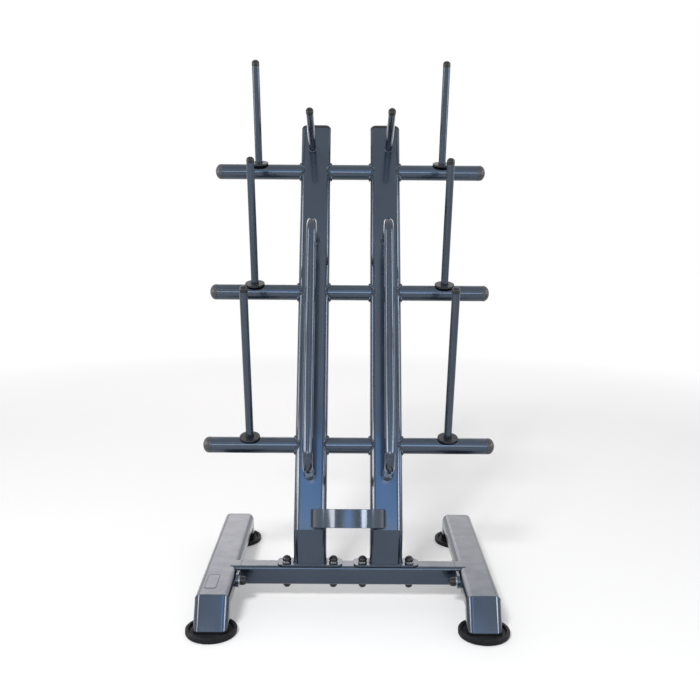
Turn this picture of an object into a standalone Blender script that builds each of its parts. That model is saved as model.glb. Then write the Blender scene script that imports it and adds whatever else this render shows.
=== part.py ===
"""Barbell rack.

Two box-tube uprights lean back from a bolted base, which is a cross tube between two legs.
Three round bars run through both uprights and carry six pegs for plates. Two grab handles,
two upper pegs and a half-ring cradle stand on the uprights' front faces.

Metres and +Z up. The front faces -Y, and left is -X. The origin is on the floor, below the
middle of the rack's box.
"""

import math

import bmesh
import bpy
from mathutils import Matrix, Vector

# Gap between pieces that touch
GAP = 0.0003

# Places in the rack
CROSS_AXIS_Y = -0.1283
BASE_AXIS_HEIGHT = 0.0795
UPRIGHT_SPACING = 0.238
UPRIGHT_LEAN = math.radians(23.7)
MITRE_HEIGHT = 0.2237

# Box tube of the uprights, stubs, legs and posts
TUBE_WIDTH = 0.102
TUBE_DEPTH = 0.057
TUBE_WALL = 0.002
TUBE_CORNER = 0.020
UPRIGHT_LENGTH = 1.3635
UPRIGHT_CAP_HEIGHT = 0.015
UPRIGHT_CAP_EDGE = 0.013
CAP_PLUG_LENGTH = 0.015

# Legs: the tube's centre line turns down at the front and the rear
LEG_X = 0.395
LEG_FRONT_Y = -0.2115
LEG_REAR_Y = 0.432
POST_SPLAY = math.radians(30.0)

# Feet
FOOT_RADIUS = 0.075
FOOT_RIM_HEIGHT = 0.016
FOOT_RIM_WIDTH = 0.010
FOOT_FLOOR_HEIGHT = 0.009
FOOT_EDGE = 0.003
FOOT_PAD_HEIGHT = 0.018
FOOT_PAD_MARGIN = 0.001

# Cross tube
CROSS_SIZE = 0.060
CROSS_WALL = 0.003
CROSS_CORNER = 0.010

# Plates under the stubs
PLATE_LENGTH = 0.203
PLATE_WIDTH = 0.060
PLATE_THICKNESS = 0.006
PLATE_CORNER = 0.018
BOLT_SPACING = 0.1464

# Flanges at the cross tube's ends: round-ended plates with a lip over the leg's inner edge
FLANGE_THICKNESS = 0.008
FLANGE_END_RADIUS = 0.020
FLANGE_AXIS_HEIGHT = 0.082
FLANGE_BOLT_Y = {"front": -0.071, "rear": 0.048}
FLANGE_LIP_REACH = 0.024

# Bolts
BOLT_RADIUS = 0.005
BOLT_HOLE_RADIUS = 0.0053
LOW_COVER_RADIUS = 0.0127
LOW_COVER_HEIGHT = 0.019
INSERT_RADIUS = 0.0070
INSERT_LENGTH = 0.006
WASHER_RADIUS = 0.0145
WASHER_THICKNESS = 0.0025
NUT_CORNER_RADIUS = 0.0098
NUT_TOP = 0.009
BOLT_END = 0.012
BOLT_CAP_RADIUS = 0.014
BOLT_CAP_BASE = 0.0045
BOLT_CAP_TOP = 0.020
BOLT_CAP_BORE_RADIUS = 0.0105
BOLT_CAP_BORE_TOP = 0.0135
FLANGE_CAP_TOP = 0.027

# Round bars, measured along the uprights from the mitre
BAR_HEIGHTS = {"lower": 0.262, "middle": 0.774, "upper": 1.2095}
BAR_RADIUS = 0.026
BAR_WALL = 0.0025
BAR_HOLE_RADIUS = 0.0263
BAR_OVERALL = 0.930
BAR_CAP_LENGTH = 0.025
BAR_CAP_STRAIGHT = 0.006
BAR_CAP_PLUG_LENGTH = 0.020

# Plate pegs on the bars
PEG_X = 0.315
PEG_LEAN = math.radians(14.5)
PEG_LENGTHS = {"lower": 0.514, "middle": 0.426, "upper": 0.345}
PEG_RADIUS = 0.0125
PEG_TIP_HEIGHT = 0.010
COLLAR_RADIUS = 0.0325
COLLAR_BORE_RADIUS = 0.0128
COLLAR_THICKNESS = 0.006
COLLAR_EDGE = 0.001

# Upper pegs on the uprights' front faces
TOP_PEG_X = 0.131
TOP_PEG_HEIGHT = 1.2855
TOP_PEG_LENGTH = 0.265

# Handles on the uprights' front faces
HANDLE_X = 0.1215
HANDLE_LOW = 0.167
HANDLE_HIGH = 0.949
HANDLE_REACH = 0.225
HANDLE_BEND = 0.048
HANDLE_RADIUS = 0.015

# Cradle between the uprights
CRADLE_WIDTH = 0.231
CRADLE_STRAIGHT = 0.008
CRADLE_STRIP_THICKNESS = 0.005
CRADLE_STRIP_HEIGHT = 0.056
CRADLE_LOW = 0.002
CRADLE_SLOPE = 0.064

# Steps of the round shapes
CORNER_STEPS = 5
BOLT_STEPS = 12
ROD_STEPS = 16
BAR_STEPS = 24
COLLAR_STEPS = 24
FOOT_STEPS = 28
PLATE_END_STEPS = 10
DOME_STEPS = 4
CRADLE_STEPS = 28
HANDLE_BEND_STEPS = 6
HANDLE_SIDES_SETTING = 5
SMOOTH_ANGLE = math.radians(35.0)
MERGE_DISTANCE = 1e-6

QUARTER_TURN = math.pi / 2
SIDES = {"left": -1, "right": 1}
ENDS = {"front": -1, "rear": 1}
CROSS_TOP = BASE_AXIS_HEIGHT + CROSS_SIZE / 2
STUB_BASE = CROSS_TOP + PLATE_THICKNESS + 2 * GAP
POST_BASE = FOOT_PAD_HEIGHT + GAP
FACE = TUBE_DEPTH / 2 + GAP


def clear_scene():
    for item in list(bpy.data.objects):
        bpy.data.objects.remove(item)


def finish(name, colour, roughness, metallic):
    material = bpy.data.materials.new(name)
    material.use_nodes = True
    shader = material.node_tree.nodes["Principled BSDF"]
    shader.inputs["Base Color"].default_value = (*colour, 1.0)
    shader.inputs["Roughness"].default_value = roughness
    shader.inputs["Metallic"].default_value = metallic
    material.diffuse_color = (*colour, 1.0)
    return material


def frame(name, location, turn=0.0, parent=None):
    """An empty that carries pieces, turned about X."""
    empty = bpy.data.objects.new(name, None)
    bpy.context.collection.objects.link(empty)
    empty.location = location
    empty.rotation_euler = (turn, 0.0, 0.0)
    empty.parent = parent
    return empty


def place(item, parent, location, turn):
    bpy.context.collection.objects.link(item)
    item.parent = parent
    item.location = location
    item.rotation_euler = turn
    return item


def piece(name, bm, material, parent, location=(0, 0, 0), turn=(0, 0, 0)):
    """One object from a bmesh of one closed body."""
    bmesh.ops.remove_doubles(bm, verts=bm.verts, dist=MERGE_DISTANCE)
    bmesh.ops.recalc_face_normals(bm, faces=bm.faces)
    mesh = bpy.data.meshes.new(name)
    bm.to_mesh(mesh)
    bm.free()
    mesh.shade_smooth()
    mesh.set_sharp_from_angle(angle=SMOOTH_ANGLE)
    if material:
        mesh.materials.append(material)
    return place(bpy.data.objects.new(name, mesh), parent, location, turn)


def combine(target, bm, operation, parent, location=(0, 0, 0), turn=(0, 0, 0)):
    """Cut a shape from the target, or join it to the target."""
    guide = piece(f"{target.name}_{operation.lower()}", bm, None, parent, location, turn)
    guide.hide_render = True
    guide.display_type = "WIRE"
    modifier = target.modifiers.new(operation.lower(), "BOOLEAN")
    modifier.operation = operation
    modifier.solver = "EXACT"
    modifier.object = guide


def outline(width, depth, corner):
    """Counter-clockwise points of a rectangle with round corners."""
    points = []
    for turn, (side_x, side_y) in enumerate(((1, 1), (-1, 1), (-1, -1), (1, -1))):
        centre = Vector((side_x * (width / 2 - corner), side_y * (depth / 2 - corner)))
        for step in range(CORNER_STEPS + 1):
            angle = QUARTER_TURN * (turn + step / CORNER_STEPS)
            points.append(centre + corner * Vector((math.cos(angle), math.sin(angle))))
    return points


def ring(bm, points, height, slope=0.0):
    """A closed loop of vertices, level or sloping along Y."""
    return [bm.verts.new((x, y, height + slope * y)) for x, y in points]


def skin(bm, rings):
    """Quads from each ring to the next."""
    for near, far in zip(rings, rings[1:]):
        for index in range(len(near)):
            after = (index + 1) % len(near)
            bm.faces.new((near[index], near[after], far[after], far[index]))


def box_tube(width, depth, wall, corner, low, high):
    """Hollow box tube along Z. Each end is a height on the axis and a slope along Y."""
    bm = bmesh.new()
    outer = outline(width, depth, corner)
    inner = outline(width - 2 * wall, depth - 2 * wall, corner - wall)
    rings = [ring(bm, outer, *low), ring(bm, outer, *high), ring(bm, inner, *high), ring(bm, inner, *low)]
    skin(bm, rings + rings[:1])
    return bm


def rounded_block(width, depth, corner, low, high):
    bm = bmesh.new()
    points = outline(width, depth, corner)
    rings = [ring(bm, points, low), ring(bm, points, high)]
    skin(bm, rings)
    for end in rings:
        bm.faces.new(end)
    return bm


def turned(profile, steps, closed=False):
    """A profile of radii and heights, spun about Z. An open profile starts and ends on the axis."""
    bm = bmesh.new()
    verts = [bm.verts.new((radius, 0.0, height)) for radius, height in profile]
    edges = [bm.edges.new(pair) for pair in zip(verts, verts[1:])]
    if closed:
        edges.append(bm.edges.new((verts[-1], verts[0])))
    bmesh.ops.spin(
        bm, geom=verts + edges, axis=(0, 0, 1), cent=(0, 0, 0), angle=math.tau, steps=steps, use_merge=True
    )
    return bm


def dome(radius, low, high, steps=DOME_STEPS):
    """Radii and heights of a quarter ellipse from a wall at the low height to the axis."""
    points = []
    for step in range(steps):
        angle = QUARTER_TURN * step / steps
        points.append((radius * math.cos(angle), low + (high - low) * math.sin(angle)))
    return points + [(0.0, high)]


def cylinders(radius, length, steps, centres, axis_turn=None):
    """Closed cylinders about the given centres, along Z or along a turned axis."""
    bm = bmesh.new()
    for centre in centres:
        matrix = Matrix.Translation(centre)
        if axis_turn:
            matrix = matrix @ axis_turn
        bmesh.ops.create_cone(
            bm, cap_ends=True, segments=steps, radius1=radius, radius2=radius, depth=length, matrix=matrix
        )
    return bm


def along_x():
    return Matrix.Rotation(QUARTER_TURN, 4, "Y")


def uprights(lean, paint):
    slope = math.tan(UPRIGHT_LEAN / 2)
    for side, sign in SIDES.items():
        bm = box_tube(
            TUBE_WIDTH, TUBE_DEPTH, TUBE_WALL, TUBE_CORNER, (GAP / 2, slope), (UPRIGHT_LENGTH, 0.0)
        )
        place_x = sign * UPRIGHT_SPACING / 2
        upright = piece(f"{side}_upright", bm, paint, lean, (place_x, 0, 0))
        centres = [(place_x, 0, height) for height in BAR_HEIGHTS.values()]
        holes = cylinders(BAR_HOLE_RADIUS, TUBE_WIDTH + 2 * TUBE_CORNER, BAR_STEPS, centres, along_x())
        combine(upright, holes, "DIFFERENCE", lean)


def upright_caps(lean, plastic):
    plug_width = TUBE_WIDTH - 2 * (TUBE_WALL + GAP)
    plug_depth = TUBE_DEPTH - 2 * (TUBE_WALL + GAP)
    plug = outline(plug_width, plug_depth, TUBE_CORNER - TUBE_WALL - GAP)
    rim = outline(TUBE_WIDTH, TUBE_DEPTH, TUBE_CORNER)
    low = UPRIGHT_LENGTH + GAP
    edge_start = low + UPRIGHT_CAP_HEIGHT - UPRIGHT_CAP_EDGE
    for side, sign in SIDES.items():
        bm = bmesh.new()
        rings = [ring(bm, plug, low - CAP_PLUG_LENGTH), ring(bm, plug, low), ring(bm, rim, low)]
        for step in range(DOME_STEPS + 1):
            angle = QUARTER_TURN * step / DOME_STEPS
            inset = UPRIGHT_CAP_EDGE * (1 - math.cos(angle))
            points = outline(TUBE_WIDTH - 2 * inset, TUBE_DEPTH - 2 * inset, TUBE_CORNER - inset)
            rings.append(ring(bm, points, edge_start + UPRIGHT_CAP_EDGE * math.sin(angle)))
        skin(bm, rings)
        bm.faces.new(rings[0])
        bm.faces.new(rings[-1])
        piece(f"{side}_upright_cap", bm, plastic, lean, (sign * UPRIGHT_SPACING / 2, 0, 0))


def stubs(base, paint):
    slope = math.tan(UPRIGHT_LEAN / 2)
    for side, sign in SIDES.items():
        bm = box_tube(
            TUBE_WIDTH, TUBE_DEPTH, TUBE_WALL, TUBE_CORNER, (STUB_BASE, 0.0), (MITRE_HEIGHT - GAP / 2, -slope)
        )
        piece(f"{side}_upright_stub", bm, paint, base, (sign * UPRIGHT_SPACING / 2, 0, 0))


def base_plates(base, paint):
    centres = [(way * BOLT_SPACING / 2, 0, PLATE_THICKNESS / 2) for way in ENDS.values()]
    for side, sign in SIDES.items():
        bm = rounded_block(PLATE_LENGTH, PLATE_WIDTH, PLATE_CORNER, 0.0, PLATE_THICKNESS)
        location = (sign * UPRIGHT_SPACING / 2, 0, CROSS_TOP + GAP)
        plate = piece(f"{side}_base_plate", bm, paint, base, location)
        holes = cylinders(BOLT_HOLE_RADIUS, 3 * PLATE_THICKNESS, BOLT_STEPS, centres)
        combine(plate, holes, "DIFFERENCE", base, location)


def obround_plate():
    """Round-ended plate along X, from the front bolt to the rear one, from Z = 0 up."""
    bm = bmesh.new()
    points = []
    for turn, centre_x in enumerate((FLANGE_BOLT_Y["rear"], FLANGE_BOLT_Y["front"])):
        for step in range(PLATE_END_STEPS + 1):
            angle = math.pi * (turn + step / PLATE_END_STEPS) - QUARTER_TURN
            reach = FLANGE_END_RADIUS * Vector((math.cos(angle), math.sin(angle)))
            points.append((centre_x + reach.x, reach.y))
    rings = [ring(bm, points, 0.0), ring(bm, points, FLANGE_THICKNESS)]
    skin(bm, rings)
    for end in rings:
        bm.faces.new(end)
    return bm


def end_flanges(base, paint):
    """Each flange has the cross tube's section at its middle, cut to fit over the leg."""
    centres = [(y, 0, FLANGE_THICKNESS / 2) for y in FLANGE_BOLT_Y.values()]
    upright_turn = (QUARTER_TURN, 0, QUARTER_TURN)
    inner_x = LEG_X - TUBE_WIDTH / 2 - GAP - FLANGE_THICKNESS
    lip_length = FLANGE_THICKNESS + FLANGE_LIP_REACH
    leg_width = TUBE_WIDTH + 2 * GAP
    leg_corner = TUBE_CORNER + GAP
    leg_top = BASE_AXIS_HEIGHT + TUBE_DEPTH / 2 + GAP
    for side, sign in SIDES.items():
        low_x = inner_x if sign > 0 else -inner_x - FLANGE_THICKNESS
        location = (low_x, 0, FLANGE_AXIS_HEIGHT)
        flange = piece(f"{side}_end_flange", obround_plate(), paint, base, location, upright_turn)
        middle = rounded_block(CROSS_SIZE, CROSS_SIZE, CROSS_CORNER, 0.0, lip_length)
        place_middle = (sign * inner_x, 0, BASE_AXIS_HEIGHT)
        combine(flange, middle, "UNION", base, place_middle, (0, sign * QUARTER_TURN, 0))
        leg = rounded_block(leg_width, 2 * CROSS_SIZE, leg_corner, -CROSS_SIZE, CROSS_SIZE)
        place_leg = (sign * LEG_X, 0, leg_top - CROSS_SIZE)
        combine(flange, leg, "DIFFERENCE", base, place_leg, (QUARTER_TURN, 0, 0))
        holes = cylinders(BOLT_HOLE_RADIUS, 3 * FLANGE_THICKNESS, BOLT_STEPS, centres)
        combine(flange, holes, "DIFFERENCE", base, location, upright_turn)


def base_bolt_places():
    """X of each vertical bolt, by side and by place about its upright."""
    for side, sign in SIDES.items():
        for place_name, way in (("outer", 1), ("inner", -1)):
            yield f"{side}_{place_name}", sign * (UPRIGHT_SPACING / 2 + way * BOLT_SPACING / 2)


def cross_tube(base, paint):
    length = 2 * (LEG_X - TUBE_WIDTH / 2 - FLANGE_THICKNESS - 2 * GAP)
    bm = box_tube(CROSS_SIZE, CROSS_SIZE, CROSS_WALL, CROSS_CORNER, (-length / 2, 0.0), (length / 2, 0.0))
    location = (0, 0, BASE_AXIS_HEIGHT)
    tube = piece("cross_tube", bm, paint, base, location, (0, QUARTER_TURN, 0))
    centres = [(x, 0, 0) for _, x in base_bolt_places()]
    holes = cylinders(BOLT_HOLE_RADIUS, 2 * CROSS_SIZE, BOLT_STEPS, centres)
    combine(tube, holes, "DIFFERENCE", base, location)


def leg_tubes(base, paint):
    slope = math.tan(math.pi / 4 - POST_SPLAY / 2)
    for side, sign in SIDES.items():
        low = (LEG_FRONT_Y + GAP / 2, slope)
        high = (LEG_REAR_Y - GAP / 2, -slope)
        bm = box_tube(TUBE_WIDTH, TUBE_DEPTH, TUBE_WALL, TUBE_CORNER, low, high)
        location = (sign * LEG_X, 0, BASE_AXIS_HEIGHT)
        leg = piece(f"{side}_leg_tube", bm, paint, base, location, (-QUARTER_TURN, 0, 0))
        hole_z = FLANGE_AXIS_HEIGHT - BASE_AXIS_HEIGHT
        centres = [(-sign * TUBE_WIDTH / 2, y, hole_z) for y in FLANGE_BOLT_Y.values()]
        holes = cylinders(BOLT_HOLE_RADIUS, TUBE_CORNER, BOLT_STEPS, centres, along_x())
        combine(leg, holes, "DIFFERENCE", base, location)


def leg_posts(base, paint):
    slope = math.tan(math.pi / 4 - POST_SPLAY / 2)
    foot_level = (POST_BASE - BASE_AXIS_HEIGHT) / math.cos(POST_SPLAY)
    for side, sign in SIDES.items():
        for end, way in ENDS.items():
            low = (foot_level, math.tan(POST_SPLAY))
            bm = box_tube(TUBE_WIDTH, TUBE_DEPTH, TUBE_WALL, TUBE_CORNER, low, (-GAP / 2, -slope))
            corner_y = LEG_FRONT_Y if way < 0 else LEG_REAR_Y
            half_turn = 0.0 if way < 0 else math.pi
            location = (sign * LEG_X, corner_y, BASE_AXIS_HEIGHT)
            piece(f"{side}_{end}_leg_post", bm, paint, base, location, (-POST_SPLAY, 0, half_turn))


def foot_y(way):
    """Y of a foot's centre, under the cut end of its post."""
    corner_y = LEG_FRONT_Y if way < 0 else LEG_REAR_Y
    return corner_y + way * (BASE_AXIS_HEIGHT - POST_BASE) * math.tan(POST_SPLAY)


def feet(base, rubber):
    rim_inner = FOOT_RADIUS - FOOT_RIM_WIDTH
    profile = [
        (0.0, 0.0),
        (FOOT_RADIUS - FOOT_EDGE, 0.0),
        (FOOT_RADIUS, FOOT_EDGE),
        (FOOT_RADIUS, FOOT_RIM_HEIGHT - FOOT_EDGE),
        (FOOT_RADIUS - FOOT_EDGE, FOOT_RIM_HEIGHT),
        (rim_inner + FOOT_EDGE, FOOT_RIM_HEIGHT),
        (rim_inner, FOOT_RIM_HEIGHT - FOOT_EDGE),
        (rim_inner - FOOT_EDGE, FOOT_FLOOR_HEIGHT),
        (0.0, FOOT_FLOOR_HEIGHT),
    ]
    pad_width = TUBE_WIDTH + 2 * FOOT_PAD_MARGIN
    pad_depth = TUBE_DEPTH / math.cos(POST_SPLAY) + 2 * FOOT_PAD_MARGIN
    for side, sign in SIDES.items():
        for end, way in ENDS.items():
            location = (sign * LEG_X, foot_y(way), 0)
            foot = piece(f"{side}_{end}_foot", turned(profile, FOOT_STEPS), rubber, base, location)
            pad = rounded_block(pad_width, pad_depth, TUBE_CORNER, FOOT_FLOOR_HEIGHT / 2, FOOT_PAD_HEIGHT)
            combine(foot, pad, "UNION", base, location)


def hexagonal(bm, corner_radius):
    """Move the vertices at the corner radius in to a hexagon's sides."""
    for vert in bm.verts:
        if abs(vert.co.xy.length - corner_radius) < MERGE_DISTANCE:
            angle = math.atan2(vert.co.y, vert.co.x) % (math.pi / 3) - math.pi / 6
            vert.co.xy *= math.cos(math.pi / 6) / math.cos(angle)
    return bm


def shank_and_washer(seat):
    """From the shank's end at the seat below the grip up to the washer's top."""
    washer = [(WASHER_RADIUS, GAP), (WASHER_RADIUS, WASHER_THICKNESS)]
    return [(BOLT_RADIUS, seat), (BOLT_RADIUS, GAP)] + washer


def base_bolts(base, steel, plastic):
    """Each bolt goes down through the plate and the cross tube, to a domed cover below."""
    seat = -PLATE_THICKNESS - CROSS_SIZE - 2 * GAP
    low_shoulder = seat - LOW_COVER_HEIGHT + LOW_COVER_RADIUS
    low_cover = dome(LOW_COVER_RADIUS, low_shoulder, seat - LOW_COVER_HEIGHT)[::-1]
    low_end = low_cover + [(LOW_COVER_RADIUS, seat)] + shank_and_washer(seat)
    nut = [(NUT_CORNER_RADIUS, WASHER_THICKNESS), (NUT_CORNER_RADIUS, NUT_TOP), (BOLT_RADIUS, NUT_TOP)]
    end = [(BOLT_RADIUS, BOLT_END), (0.0, BOLT_END)]
    cap_shoulder = BOLT_CAP_TOP - BOLT_CAP_RADIUS
    cap_bore = [(0.0, BOLT_CAP_BORE_TOP), (BOLT_CAP_BORE_RADIUS, BOLT_CAP_BORE_TOP)]
    cap_skirt = [(BOLT_CAP_BORE_RADIUS, BOLT_CAP_BASE), (BOLT_CAP_RADIUS, BOLT_CAP_BASE)]
    cap = cap_bore + cap_skirt + dome(BOLT_CAP_RADIUS, cap_shoulder, BOLT_CAP_TOP)
    for name, x in base_bolt_places():
        location = (x, 0, CROSS_TOP + GAP + PLATE_THICKNESS)
        bolt = hexagonal(turned(low_end + nut + end, BOLT_STEPS), NUT_CORNER_RADIUS)
        piece(f"{name}_base_bolt", bolt, steel, base, location)
        piece(f"{name}_base_bolt_cap", turned(cap, BOLT_STEPS), plastic, base, location)


def flange_bolts(base, steel):
    """Each bolt holds a flange to the leg's inner wall, with a round insert inside the leg."""
    seat = -FLANGE_THICKNESS - TUBE_WALL - 2 * GAP
    insert_end = seat - INSERT_LENGTH
    insert = [(0.0, insert_end), (INSERT_RADIUS, insert_end), (INSERT_RADIUS, seat)]
    shoulder = FLANGE_CAP_TOP - BOLT_CAP_RADIUS
    cover = [(BOLT_CAP_RADIUS, WASHER_THICKNESS)] + dome(BOLT_CAP_RADIUS, shoulder, FLANGE_CAP_TOP)
    profile = insert + shank_and_washer(seat) + cover
    for side, sign in SIDES.items():
        for end, y in FLANGE_BOLT_Y.items():
            x = sign * (LEG_X - TUBE_WIDTH / 2 - GAP - FLANGE_THICKNESS)
            location = (x, y, FLANGE_AXIS_HEIGHT)
            bm = turned(profile, BOLT_STEPS)
            piece(f"{side}_{end}_flange_bolt", bm, steel, base, location, (0, -sign * QUARTER_TURN, 0))


def bars(lean, paint):
    half = BAR_OVERALL / 2 - BAR_CAP_LENGTH - GAP
    inner = BAR_RADIUS - BAR_WALL
    profile = [(BAR_RADIUS, -half), (BAR_RADIUS, half), (inner, half), (inner, -half)]
    for level, height in BAR_HEIGHTS.items():
        bm = turned(profile, BAR_STEPS, closed=True)
        piece(f"{level}_bar", bm, paint, lean, (0, 0, height), (0, QUARTER_TURN, 0))


def bar_caps(lean, plastic):
    plug_radius = BAR_RADIUS - BAR_WALL - GAP
    plug = [(0.0, -BAR_CAP_PLUG_LENGTH), (plug_radius, -BAR_CAP_PLUG_LENGTH), (plug_radius, 0.0)]
    profile = plug + [(BAR_RADIUS, 0.0)] + dome(BAR_RADIUS, BAR_CAP_STRAIGHT, BAR_CAP_LENGTH, DOME_STEPS + 1)
    seat = BAR_OVERALL / 2 - BAR_CAP_LENGTH
    for level, height in BAR_HEIGHTS.items():
        for side, sign in SIDES.items():
            bm = turned(profile, BAR_STEPS)
            location = (sign * seat, 0, height)
            piece(f"{side}_{level}_bar_cap", bm, plastic, lean, location, (0, sign * QUARTER_TURN, 0))


def rod(length):
    """Round rod from Z = 0 with a domed tip."""
    profile = [(0.0, 0.0), (PEG_RADIUS, 0.0)] + dome(PEG_RADIUS, length - PEG_TIP_HEIGHT, length)
    return turned(profile, ROD_STEPS)


def plate_pegs(lean, paint, plastic):
    """Pegs on the bars, with a collar at each foot. Their turn is measured from the uprights."""
    seat = BAR_RADIUS + GAP
    collar_top = seat + COLLAR_THICKNESS
    collar = [
        (COLLAR_BORE_RADIUS, seat),
        (COLLAR_RADIUS, seat),
        (COLLAR_RADIUS, collar_top - COLLAR_EDGE),
        (COLLAR_RADIUS - COLLAR_EDGE, collar_top),
        (COLLAR_BORE_RADIUS, collar_top),
    ]
    turn = (PEG_LEAN + UPRIGHT_LEAN, 0, 0)
    for level, height in BAR_HEIGHTS.items():
        for side, sign in SIDES.items():
            foot = frame(f"{side}_{level}_peg_axis", (sign * PEG_X, 0, height), turn[0], lean)
            bm = rod(PEG_LENGTHS[level] - GAP)
            piece(f"{side}_{level}_plate_peg", bm, paint, foot, (0, 0, seat))
            bm = turned(collar, COLLAR_STEPS, closed=True)
            piece(f"{side}_{level}_peg_collar", bm, plastic, foot)


def top_pegs(lean, paint):
    for side, sign in SIDES.items():
        location = (sign * TOP_PEG_X, -FACE, TOP_PEG_HEIGHT)
        piece(f"{side}_top_peg", rod(TOP_PEG_LENGTH - GAP), paint, lean, location, (QUARTER_TURN, 0, 0))


def handle_path():
    """Forward from the upright's face, up along it, and back."""
    reach = HANDLE_REACH - HANDLE_BEND
    points = [Vector((0, -FACE, HANDLE_LOW))]
    for centre_z, start in ((HANDLE_LOW + HANDLE_BEND, -QUARTER_TURN), (HANDLE_HIGH - HANDLE_BEND, 0.0)):
        for step in range(HANDLE_BEND_STEPS + 1):
            angle = start + QUARTER_TURN * step / HANDLE_BEND_STEPS
            forward = reach + HANDLE_BEND * math.cos(angle)
            points.append(Vector((0, -forward, centre_z + HANDLE_BEND * math.sin(angle))))
    points.append(Vector((0, -FACE, HANDLE_HIGH)))
    return points


def handles(lean, paint):
    for side, sign in SIDES.items():
        curve = bpy.data.curves.new(f"{side}_handle", "CURVE")
        curve.dimensions = "3D"
        curve.bevel_depth = HANDLE_RADIUS
        curve.bevel_resolution = HANDLE_SIDES_SETTING
        curve.use_fill_caps = True
        curve.materials.append(paint)
        spline = curve.splines.new("POLY")
        points = handle_path()
        spline.points.add(len(points) - 1)
        for point, position in zip(spline.points, points):
            point.co = (*position, 1.0)
        spline.use_smooth = True
        place(bpy.data.objects.new(f"{side}_handle", curve), lean, (sign * HANDLE_X, 0, 0), (0, 0, 0))


def cradle(lean, paint):
    """Half ring of flat strip. Its front dips by the slope."""
    bm = bmesh.new()
    outer_radius = CRADLE_WIDTH / 2
    stations = []
    for radius in (outer_radius, outer_radius - CRADLE_STRIP_THICKNESS):
        points = [Vector((-radius, FACE))]
        for step in range(CRADLE_STEPS + 1):
            angle = math.pi * (1 - step / CRADLE_STEPS)
            reach = FACE + CRADLE_STRAIGHT + radius * math.sin(angle)
            points.append(Vector((radius * math.cos(angle), reach)))
        points.append(Vector((radius, FACE)))
        stations.append(points)
    outer, inner = stations
    points = outer + inner[::-1]
    rows = []
    for level in (CRADLE_LOW, CRADLE_LOW + CRADLE_STRIP_HEIGHT):
        row = []
        for x, reach in points:
            row.append(bm.verts.new((x, -reach, level - CRADLE_SLOPE * (reach - FACE))))
        rows.append(row)
    skin(bm, rows)
    count = len(points)
    for row in rows:
        for index in range(count // 2 - 1):
            bm.faces.new((row[index], row[index + 1], row[count - 2 - index], row[count - 1 - index]))
    piece("cradle", bm, paint, lean)


def build():
    clear_scene()
    paint = finish("frame_paint", (0.060, 0.071, 0.092), 0.26, 0.80)
    plastic = finish("black_plastic", (0.014, 0.015, 0.017), 0.42, 0.0)
    rubber = finish("foot_rubber", (0.018, 0.018, 0.020), 0.62, 0.0)
    steel = finish("bolt_steel", (0.30, 0.31, 0.33), 0.35, 1.0)
    base = frame("rack_base", (0, CROSS_AXIS_Y, 0))
    lean = frame("upright_lean", (0, 0, MITRE_HEIGHT), -UPRIGHT_LEAN, base)
    leg_tubes(base, paint)
    leg_posts(base, paint)
    feet(base, rubber)
    cross_tube(base, paint)
    end_flanges(base, paint)
    flange_bolts(base, steel)
    base_plates(base, paint)
    base_bolts(base, steel, plastic)
    stubs(base, paint)
    uprights(lean, paint)
    upright_caps(lean, plastic)
    bars(lean, paint)
    bar_caps(lean, plastic)
    plate_pegs(lean, paint, plastic)
    top_pegs(lean, paint)
    handles(lean, paint)
    cradle(lean, paint)


build()
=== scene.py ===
"""Looks of the barbell rack: fine shapes, welds, finishes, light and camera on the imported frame.

Metres and +Z up, in the frame of the CAD model. The front faces -Y, and left is -X. Every piece
stands exactly where the CAD node that it replaces stands.
"""

import math

import bmesh
import bpy
from mathutils import Matrix, Vector

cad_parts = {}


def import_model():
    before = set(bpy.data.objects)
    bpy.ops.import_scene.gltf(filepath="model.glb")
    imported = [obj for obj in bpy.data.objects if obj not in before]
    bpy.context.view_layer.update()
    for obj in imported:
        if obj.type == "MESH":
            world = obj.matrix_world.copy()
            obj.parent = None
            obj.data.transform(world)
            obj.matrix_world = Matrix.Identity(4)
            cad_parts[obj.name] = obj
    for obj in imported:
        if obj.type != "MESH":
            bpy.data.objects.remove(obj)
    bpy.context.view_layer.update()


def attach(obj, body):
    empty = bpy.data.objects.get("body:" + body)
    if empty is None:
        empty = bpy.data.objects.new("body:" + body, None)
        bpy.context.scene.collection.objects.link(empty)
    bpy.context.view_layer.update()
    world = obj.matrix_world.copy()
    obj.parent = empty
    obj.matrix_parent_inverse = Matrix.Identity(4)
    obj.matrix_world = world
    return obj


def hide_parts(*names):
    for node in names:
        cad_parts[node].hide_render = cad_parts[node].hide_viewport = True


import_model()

# Gap between pieces that touch
GAP = 0.0003

# Places in the rack
CROSS_AXIS_Y = -0.1283
BASE_AXIS_HEIGHT = 0.0795
UPRIGHT_SPACING = 0.238
UPRIGHT_LEAN = math.radians(23.7)
MITRE_HEIGHT = 0.2237

# Box tube of the uprights, stubs, legs and posts
TUBE_WIDTH = 0.102
TUBE_DEPTH = 0.057
TUBE_WALL = 0.002
TUBE_CORNER = 0.020
UPRIGHT_LENGTH = 1.3635
UPRIGHT_CAP_HEIGHT = 0.015
UPRIGHT_CAP_EDGE = 0.013
CAP_PLUG_LENGTH = 0.015

# Legs
LEG_X = 0.395
LEG_FRONT_Y = -0.2115
LEG_REAR_Y = 0.432
POST_SPLAY = math.radians(30.0)

# Feet
FOOT_RADIUS = 0.075
FOOT_RIM_HEIGHT = 0.016
FOOT_RIM_WIDTH = 0.010
FOOT_FLOOR_HEIGHT = 0.009
FOOT_EDGE = 0.003
FOOT_RIDGE_RADIUS = 0.0605
FOOT_RIDGE_HEIGHT = 0.0015
FOOT_PAD_HEIGHT = 0.018
FOOT_PAD_MARGIN = 0.001
FOOT_ROUNDING = 0.0022

# Cross tube
CROSS_SIZE = 0.060
CROSS_WALL = 0.003
CROSS_CORNER = 0.010

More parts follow.
